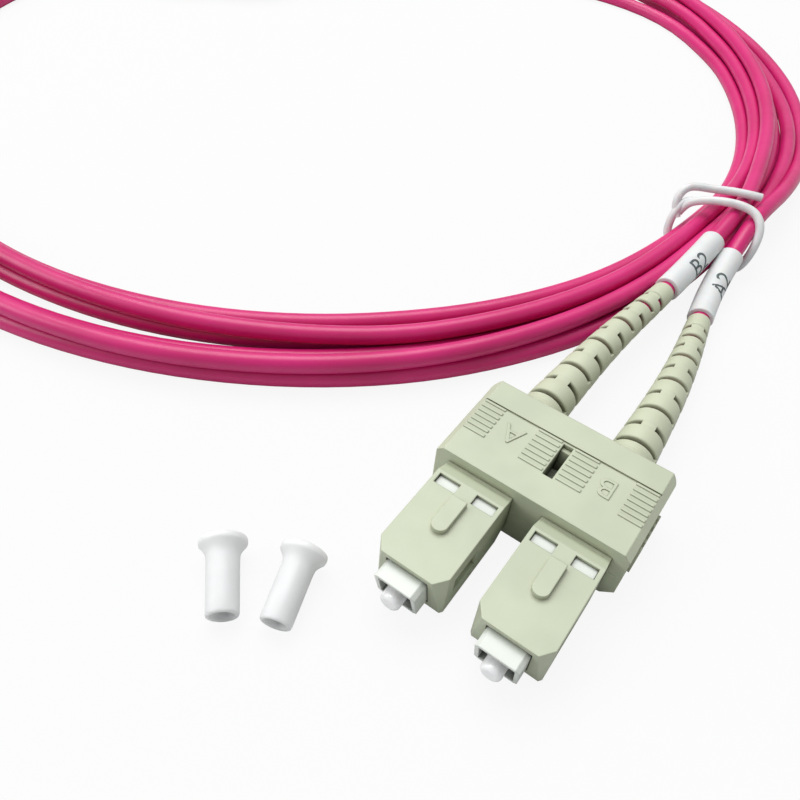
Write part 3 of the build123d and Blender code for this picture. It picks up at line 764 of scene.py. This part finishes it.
# %% Boot bridges
def bridge(low, high, turned):
    """The two bridges across one slot, as curved blocks."""
    vertices = []
    faces = []
    outer = boot_radius((low + high) / 2) - BRIDGE_SINK
    half_angle = math.asin(BRIDGE_HALF / outer)
    columns = 8
    for centre in (0, math.pi):
        start = len(vertices)
        for along in (low, high):
            for radius in (BORE, outer):
                for column in range(columns + 1):
                    angle = centre + turned + half_angle * (2 * column / columns - 1)
                    vertices.append((radius * math.cos(angle), along, radius * math.sin(angle)))
        row = columns + 1
        for column in range(columns):
            one = start + column
            faces.append((one, one + 1, one + row + 1, one + row))
            faces.append((one + 2 * row, one + 3 * row, one + 3 * row + 1, one + 2 * row + 1))
            faces.append((one, one + 2 * row, one + 2 * row + 1, one + 1))
            faces.append((one + row, one + row + 1, one + 3 * row + 1, one + 3 * row))
        last = start + columns
        faces.append((start, start + row, start + 3 * row, start + 2 * row))
        faces.append((last, last + 2 * row, last + 3 * row, last + row))
    return vertices, faces


# %% Whole boot
def boot_mesh():
    """A straight boot, from its collar to its tip, in millimetres."""
    vertices = []
    faces = []

    def take(part):
        base = len(vertices)
        vertices.extend(part[0])
        faces.extend(tuple(base + corner for corner in face) for face in part[1])

    take(lathe(ring_profile(COLLAR_FROM, COLLAR_TO, COLLAR_RADIUS, COLLAR_RADIUS, COLLAR_BORE), SEGMENTS))
    starts = [COLLAR_TO - COLLAR_OVERLAP] + [place + SLOT_WIDE / 2 for place in SLOTS]
    ends = [place - SLOT_WIDE / 2 for place in SLOTS] + [BOOT_LENGTH]
    for low, high in zip(starts, ends):
        take(lathe(ring_profile(low, high, boot_radius(low), boot_radius(high), BORE), SEGMENTS))
    for number, place in enumerate(SLOTS):
        turned = math.pi / 2 if number % 2 else 0.0
        low = place - SLOT_WIDE / 2 - BRIDGE_OVERLAP
        high = place + SLOT_WIDE / 2 + BRIDGE_OVERLAP
        take(bridge(low, high, turned))
    return vertices, faces


# %% [markdown]
# A boot starts at its plug and follows the cord from there. Its collar sits in the clip and stays
# straight. Seen from the far plugs, a cord's line is the same line read from its other end.

# %% Boots on their cords
boot_vertices, boot_faces = boot_mesh()
reversed_lines = {}
for letter, line in lines.items():
    total = line[-1][0]
    reversed_lines[letter] = [(total - distance, point) for distance, point in reversed(line)]
ends = {
    "near_a": lines["a"], "near_b": lines["b"], "far_b": reversed_lines["a"], "far_a": reversed_lines["b"],
}


for name, line in ends.items():
    end, letter = name.split("_")
    place = far_frame if end == "far" else near_frame
    side = -HALF_PITCH if letter == "a" else HALF_PITCH
    collar = [tuple((place @ Vector((side + x, BOOT_START + y, z))) * MM) for x, y, z in boot_vertices]
    leaning = bend(boot_vertices, line)
    shaped = [still if vertex[1] < STRAIGHT_BEFORE else bent
              for vertex, still, bent in zip(boot_vertices, collar, leaning)]
    boot = add_mesh(f"{end}_boot_{letter}_rings", shaped, boot_faces, boot_rubber, 40)
    belongs(boot, f"{end}_boot_{letter}")
print("boots", len(ends), "faces each", len(boot_faces))

# %% [markdown]
# The marker sleeves are thin white tubes on the cords, with a letter and a digit printed along
# them in dark grey. The print could be an image on the tube. Letters made as thin meshes, wrapped
# round it, stay sharp from near by and need no picture.

# %% Marker sleeve sizes
SLEEVE_RADIUS = 2.0
SLEEVE_BORE = 1.43
SLEEVE_FROM = 34.4
SLEEVE_LENGTH = 15.6
MARKS = {"near_a": "B2", "near_b": "A2", "far_a": "B1", "far_b": "A1"}
MARK_TURN = {"near_a": 38.0, "near_b": 52.0, "far_a": 90.0, "far_b": 90.0}
MARK_SIZE = 4.3
MARK_RISE = 0.02
MARK_LIFT = 0.01
SLEEVE_EDGE = 0.1
SLEEVE_STEPS = 12
LONGEST_EDGE = 0.25
MARK_PLACE = {"near_a": 42.0, "near_b": 42.0, "far_a": 42.0, "far_b": 42.0}


def sleeve_profile():
    low, high = SLEEVE_FROM, SLEEVE_FROM + SLEEVE_LENGTH
    edge = SLEEVE_EDGE
    profile = [(SLEEVE_BORE, low)]
    profile += [(SLEEVE_BORE, low + (high - low) * step / SLEEVE_STEPS) for step in range(1, SLEEVE_STEPS)]
    profile += [(SLEEVE_BORE, high), (SLEEVE_RADIUS - edge, high), (SLEEVE_RADIUS, high - edge)]
    profile += [(SLEEVE_RADIUS, high + (low - high) * step / SLEEVE_STEPS) for step in range(1, SLEEVE_STEPS)]
    profile += [(SLEEVE_RADIUS, low + edge), (SLEEVE_RADIUS - edge, low)]
    return profile


# %% Letters as meshes
def flat_text(text, size, thickness):
    """The outline of a short text as a mesh, centred, in millimetres."""
    data = bpy.data.curves.new("text", "FONT")
    data.body = text
    data.size = size
    data.align_x = "CENTER"
    data.align_y = "CENTER"
    data.extrude = thickness
    data.resolution_u = 6
    obj = bpy.data.objects.new("text", data)
    bpy.context.scene.collection.objects.link(obj)
    bpy.context.view_layer.update()
    mesh = bpy.data.meshes.new_from_object(obj.evaluated_get(bpy.context.evaluated_depsgraph_get()))
    work = bmesh.new()
    work.from_mesh(mesh)
    bmesh.ops.triangulate(work, faces=work.faces)
    for _ in range(2):
        long_edges = [edge for edge in work.edges if edge.calc_length() > LONGEST_EDGE]
        bmesh.ops.subdivide_edges(work, edges=long_edges, cuts=1)
        bmesh.ops.triangulate(work, faces=work.faces)
    work.verts.index_update()
    vertices = [tuple(vertex.co) for vertex in work.verts]
    faces = [tuple(vertex.index for vertex in face.verts) for face in work.faces]
    work.free()
    bpy.data.objects.remove(obj)
    bpy.data.meshes.remove(mesh)
    return vertices, faces


# %% Marker sleeves
for name, line in ends.items():
    end, letter = name.split("_")
    tube_vertices, tube_faces = lathe(sleeve_profile(), 64)
    sleeve = add_mesh(f"{end}_sleeve_{letter}", bend(tube_vertices, line), tube_faces, sleeve_white)
    belongs(sleeve, f"{end}_marker_sleeve_{letter}")
    text_vertices, text_faces = flat_text(MARKS[name], MARK_SIZE, MARK_RISE)
    wrapped = []
    for across, high, depth in text_vertices:
        angle = math.radians(MARK_TURN[name]) + high / SLEEVE_RADIUS
        radius = SLEEVE_RADIUS + MARK_LIFT + depth
        wrapped.append((radius * math.cos(angle), MARK_PLACE[name] + across, radius * math.sin(angle)))
    mark = add_mesh(f"{end}_mark_{letter}", bend(wrapped, line), text_faces, dark_ink)
    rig.ride(mark, "cable")
    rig.slot(mark, "sleeve_white")
print("sleeves and marks", len(ends))

# %% [markdown]
# The clip's two bays are marked with raised letters, whose tops point towards the plugs. They
# could be cut with the solids. As thin meshes they take their outline straight from the text.

# %% Clip letters
CLIP_TOP = 4.43
LETTER_PLACE = (HALF_PITCH, 22.2)
LETTER_LIFT = 0.02
LETTER_SIZE = 4.1
LETTER_RISE = 0.1
for end, place in (("near", near_frame), ("far", far_frame)):
    for text, side in (("A", -1), ("B", 1)):
        text_vertices, text_faces = flat_text(text, LETTER_SIZE, LETTER_RISE)
        spots = []
        for across, high, depth in text_vertices:
            sideways = side * LETTER_PLACE[0] - across
            spot = Vector((sideways, LETTER_PLACE[1] - high, CLIP_TOP + LETTER_LIFT + depth))
            spots.append(tuple((place @ spot) * MM))
        letter_piece = add_mesh(f"{end}_letter_{text.lower()}", spots, text_faces, plastic)
        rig.ride(letter_piece, f"{end}_grip")
        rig.slot(letter_piece, "beige_plastic")
print("letters made")

# %% [markdown] The ferrules are ceramic cylinders, ground and polished, with a rounded tip. The
# fibre's end in the middle is too small to show and isn't modelled. A round piece is quickest to
# turn from its profile. A real ferrule is 2.5 mm thick over its whole length. It isn't on the real
# object.


# %% Ferrules
FERRULE_TIP = -3.0
FERRULE_RADIUS = 1.25
FERRULE_ROUNDING = 0.55
FERRULE_CROWN = 0.02
FERRULE_SEAT_START = 4.0
FERRULE_SEAT_RADIUS = 1.05
FERRULE_BACK = 7.5


def ferrule_profile():
    rounding = FERRULE_ROUNDING
    tip = FERRULE_TIP
    radius = FERRULE_RADIUS
    profile = [(0.0001, tip)]
    profile.append((radius - rounding, tip + FERRULE_CROWN))
    for step in range(1, 7):
        swing = math.radians(15 * step)
        outward = radius - rounding + rounding * math.sin(swing)
        profile.append((outward, tip + rounding - rounding * math.cos(swing)))
    profile += [(radius, 0.0), (radius, FERRULE_SEAT_START), (FERRULE_SEAT_RADIUS, FERRULE_SEAT_START)]
    profile += [(FERRULE_SEAT_RADIUS, FERRULE_BACK), (0.0001, FERRULE_BACK)]
    return profile


for end, place in (("near", near_frame), ("far", far_frame)):
    for letter, side in (("a", -1), ("b", 1)):
        turned, faces = lathe(ferrule_profile(), 64)
        spots = [tuple((place @ Vector((side * HALF_PITCH + x, y, z))) * MM) for x, y, z in turned]
        tip = add_mesh(f"{end}_ferrule_{letter}_polished", spots, faces, zirconia, 30)
        belongs(tip, f"{end}_ferrule_{letter}")
print("ferrules made")

# %% [markdown]
# The tie is a coated wire bent round the bundle, with its long end laid back over the top. On the
# real one the ends are twisted together at the side. Here they only pass each other there. Two
# curves with a round bevel make it, because a wire is as thick all along.

# %% Wire tie
TIE_WIRE = 0.7
TIE_LOOP = [
    (-9.4, 86.8, 0.8), (-8.9, 87.2, 2.6), (-6.8, 87.6, 4.0), (-3.6, 88.3, 4.85), (-0.4, 89.0, 5.05),
    (2.2, 88.8, 4.75), (4.0, 87.4, 3.5), (4.6, 85.3, 1.2), (4.3, 83.8, -1.6), (3.4, 83.6, -3.3),
    (1.0, 83.8, -3.73), (-4.0, 84.2, -3.73), (-8.0, 84.4, -3.73), (-9.6, 84.6, -2.6),
    (-10.0, 85.2, -0.6), (-9.9, 86.2, 1.3), (-9.4, 87.6, 2.7), (-8.2, 88.2, 3.0),
]
TIE_TAIL = [
    (-9.3, 86.0, 0.2), (-10.3, 86.6, 1.8), (-10.6, 87.4, 3.2), (-10.2, 88.6, 4.3), (-9.2, 90.2, 4.5),
    (-6.0, 91.4, 4.6), (-2.0, 92.6, 5.1), (1.4, 93.8, 4.9),
]
tie = add_curve("tie_loop", TIE_LOOP, TIE_WIRE, bevel=8, steps=12)
tail = add_curve("tie_tail", TIE_TAIL, TIE_WIRE, bevel=8, steps=12)
for piece in (tie, tail):
    piece.data.materials.append(tie_white)
    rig.ride(piece, "cable")
    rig.slot(piece, "tie_white")
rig.replaces(tie, "twist_tie")
print("tie made")

# %% [markdown]
# The dust caps are soft milky mouldings: a thick flange, a small cone and a hollow barrel. They
# are round, so a profile turned about their axis makes them. Each lies on the floor on its flange
# and its barrel's end. They are 0.7 mm shorter here than the solids, to match the photo.

# %% Dust caps
FLOOR = -4.43
CAP_FLANGE_RADIUS = 2.8
CAP_FLANGE_DEPTH = 0.9
CAP_BARREL_RADIUS = 1.9
CAP_LENGTH = 9.1
CAP_PLACES = {"dust_cap_a": ((-26.5, -7.3), (-20.9, -13.3)), "dust_cap_b": ((-18.2, -2.6), (-15.3, -11.0))}
CAP_PROFILE = [
    (0.0001, 0.12), (2.2, 0.0), (2.55, 0.04), (2.74, 0.16), (2.8, 0.35), (2.8, 0.68), (2.74, 0.86),
    (2.6, 1.0), (2.2, 1.5), (1.98, 1.95), (1.92, 2.4), (1.9, 3.2), (1.88, 5.8), (1.86, 8.8),
    (1.8, 9.02), (1.7, 9.1), (1.42, 9.1), (1.32, 9.0), (1.3, 8.8), (1.28, 2.0), (1.1, 1.65),
    (0.0001, 1.6),
]
for name, (flange_at, barrel_at) in CAP_PLACES.items():
    across = Vector((barrel_at[0] - flange_at[0], barrel_at[1] - flange_at[1], 0))
    yaw = -math.atan2(across.x, across.y)
    dip = -math.atan2(CAP_FLANGE_RADIUS - CAP_BARREL_RADIUS, CAP_LENGTH - CAP_FLANGE_DEPTH)
    laid = Matrix.Rotation(yaw, 4, "Z") @ Matrix.Rotation(dip, 4, "X")
    turned, faces = lathe(CAP_PROFILE, 64, closed=False)
    points = [laid @ Vector(vertex) for vertex in turned]
    lowest = min(point.z for point in points)
    shift = Vector((flange_at[0], flange_at[1], FLOOR - lowest))
    spots = [tuple((point + shift) * MM) for point in points]
    cap = add_mesh(f"{name}_moulding", spots, faces, cap_milky, 60)
    belongs(cap, name)
print("caps made")

# %% [markdown]
# The cords are declared with the lengths of their lines here, which come from the photo's visible
# part and a count of the turns, since nothing states the real ones. Each one ends in its own plug
# of the far connector, whose pieces it carries.

# %% Cord facts
EXIT_FROM_START = 0.0225
coil_nodes = {"a": ["near_lead_a", "far_lead_b", "cord_coil"], "b": ["near_lead_b", "far_lead_a"]}
for letter, far_letter, shared in (("a", "b", "clip_bottom"), ("b", "a", "clip_top")):
    cord = cords[letter]
    cord.data.materials.append(jacket_pink)
    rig.ride(cord, "cable")
    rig.slot(cord, "cord_magenta")
    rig.replaces(cord, *coil_nodes[letter])
    carried = [nodes[f"far_{shared}"], nodes[f"far_housing_{far_letter}"],
               nodes[f"far_plug_frame_{far_letter}"],
               bpy.data.objects[f"far_ferrule_{far_letter}_polished"],
               bpy.data.objects[f"far_boot_{far_letter}_rings"],
               bpy.data.objects[f"far_sleeve_{far_letter}"]]
    exit_point = along_line(lines[letter], EXIT_FROM_START)[0]
    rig.cord(cord, exit=tuple(exit_point), length=round(lines[letter][-1][0], 2), diameter=CORD * MM,
            far_end="connector", stiffness="medium", lay="coiled", with_pieces=carried)
print("cords declared")

# %% [markdown]
# The setting is a white sweep under soft light: a broad panel overhead, a weaker one from the
# left and a pale surround. The floor glows, but only for the camera, so that it looks white with
# faint shadows and throws no extra light up on the pieces.


# %% Light panels
def add_light(name, place, target, size, power):
    data = bpy.data.lights.new(name, "AREA")
    data.shape = "RECTANGLE"
    data.size, data.size_y = size
    data.energy = power
    obj = bpy.data.objects.new(name, data)
    obj.location = place
    direction = Vector(target) - Vector(place)
    obj.rotation_euler = direction.to_track_quat("-Z", "Y").to_euler()
    bpy.context.scene.collection.objects.link(obj)
    return obj


# %% Floor
FLOOR_GLOW = 0.9
SKY_GLOW = 0.5
ROOM_LIGHT = 0.46
FLOOR_GAP = 0.00002
ground = bpy.data.meshes.new("floor")
reach = 6.0
height = FLOOR * MM - FLOOR_GAP
ground.from_pydata([(-reach, -reach, height), (reach, -reach, height), (reach, reach, height),
                    (-reach, reach, height)], [], [(0, 1, 2, 3)])
floor = bpy.data.objects.new("floor", ground)
bpy.context.scene.collection.objects.link(floor)
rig.stage(floor)

sweep = bpy.data.materials.new("white sweep")
sweep.use_nodes = True
tree = sweep.node_tree
tree.nodes.clear()
output = tree.nodes.new("ShaderNodeOutputMaterial")
mixer = tree.nodes.new("ShaderNodeMixShader")
glow = tree.nodes.new("ShaderNodeEmission")
matt = tree.nodes.new("ShaderNodeBsdfDiffuse")
paths = tree.nodes.new("ShaderNodeLightPath")
glow.inputs["Color"].default_value = (1.0, 1.0, 1.0, 1)
matt.inputs["Color"].default_value = (0.62, 0.62, 0.62, 1)
share = Value(tree, paths.outputs["Is Camera Ray"]) * FLOOR_GLOW
tree.links.new(share.socket, mixer.inputs[0])
tree.links.new(matt.outputs[0], mixer.inputs[1])
tree.links.new(glow.outputs[0], mixer.inputs[2])
tree.links.new(mixer.outputs[0], output.inputs["Surface"])
ground.materials.append(sweep)

# %% Surround and lamps
world = bpy.data.worlds.new("studio")
bpy.context.scene.world = world
world.use_nodes = True
back = world.node_tree.nodes["Background"]
back.inputs["Color"].default_value = (0.97, 0.985, 1.0, 1)
seen = Value(world.node_tree, world.node_tree.nodes.new("ShaderNodeLightPath").outputs["Is Camera Ray"])
world.node_tree.links.new((seen * SKY_GLOW + ROOM_LIGHT).socket, back.inputs["Strength"])
add_light("overhead", (-0.35, 0.30, 0.9), (0.0, 0.02, 0.0), (0.9, 0.7), 9.0)
add_light("left", (-0.7, -0.45, 0.5), (0.0, 0.02, 0.0), (0.5, 0.5), 3.0)
bpy.context.scene.view_settings.view_transform = "Standard"
print("setting made")

# %% [markdown]
# Last, the sizes of the imported model and of the dressed one are written down side by side.

# %% Sizes written down
with open("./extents.json", "w") as handle:
    json.dump({"cad": [list(corner) for corner in cad_box], "visual": [list(corner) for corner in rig.bounds()]},
              handle)
print(open("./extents.json").read())
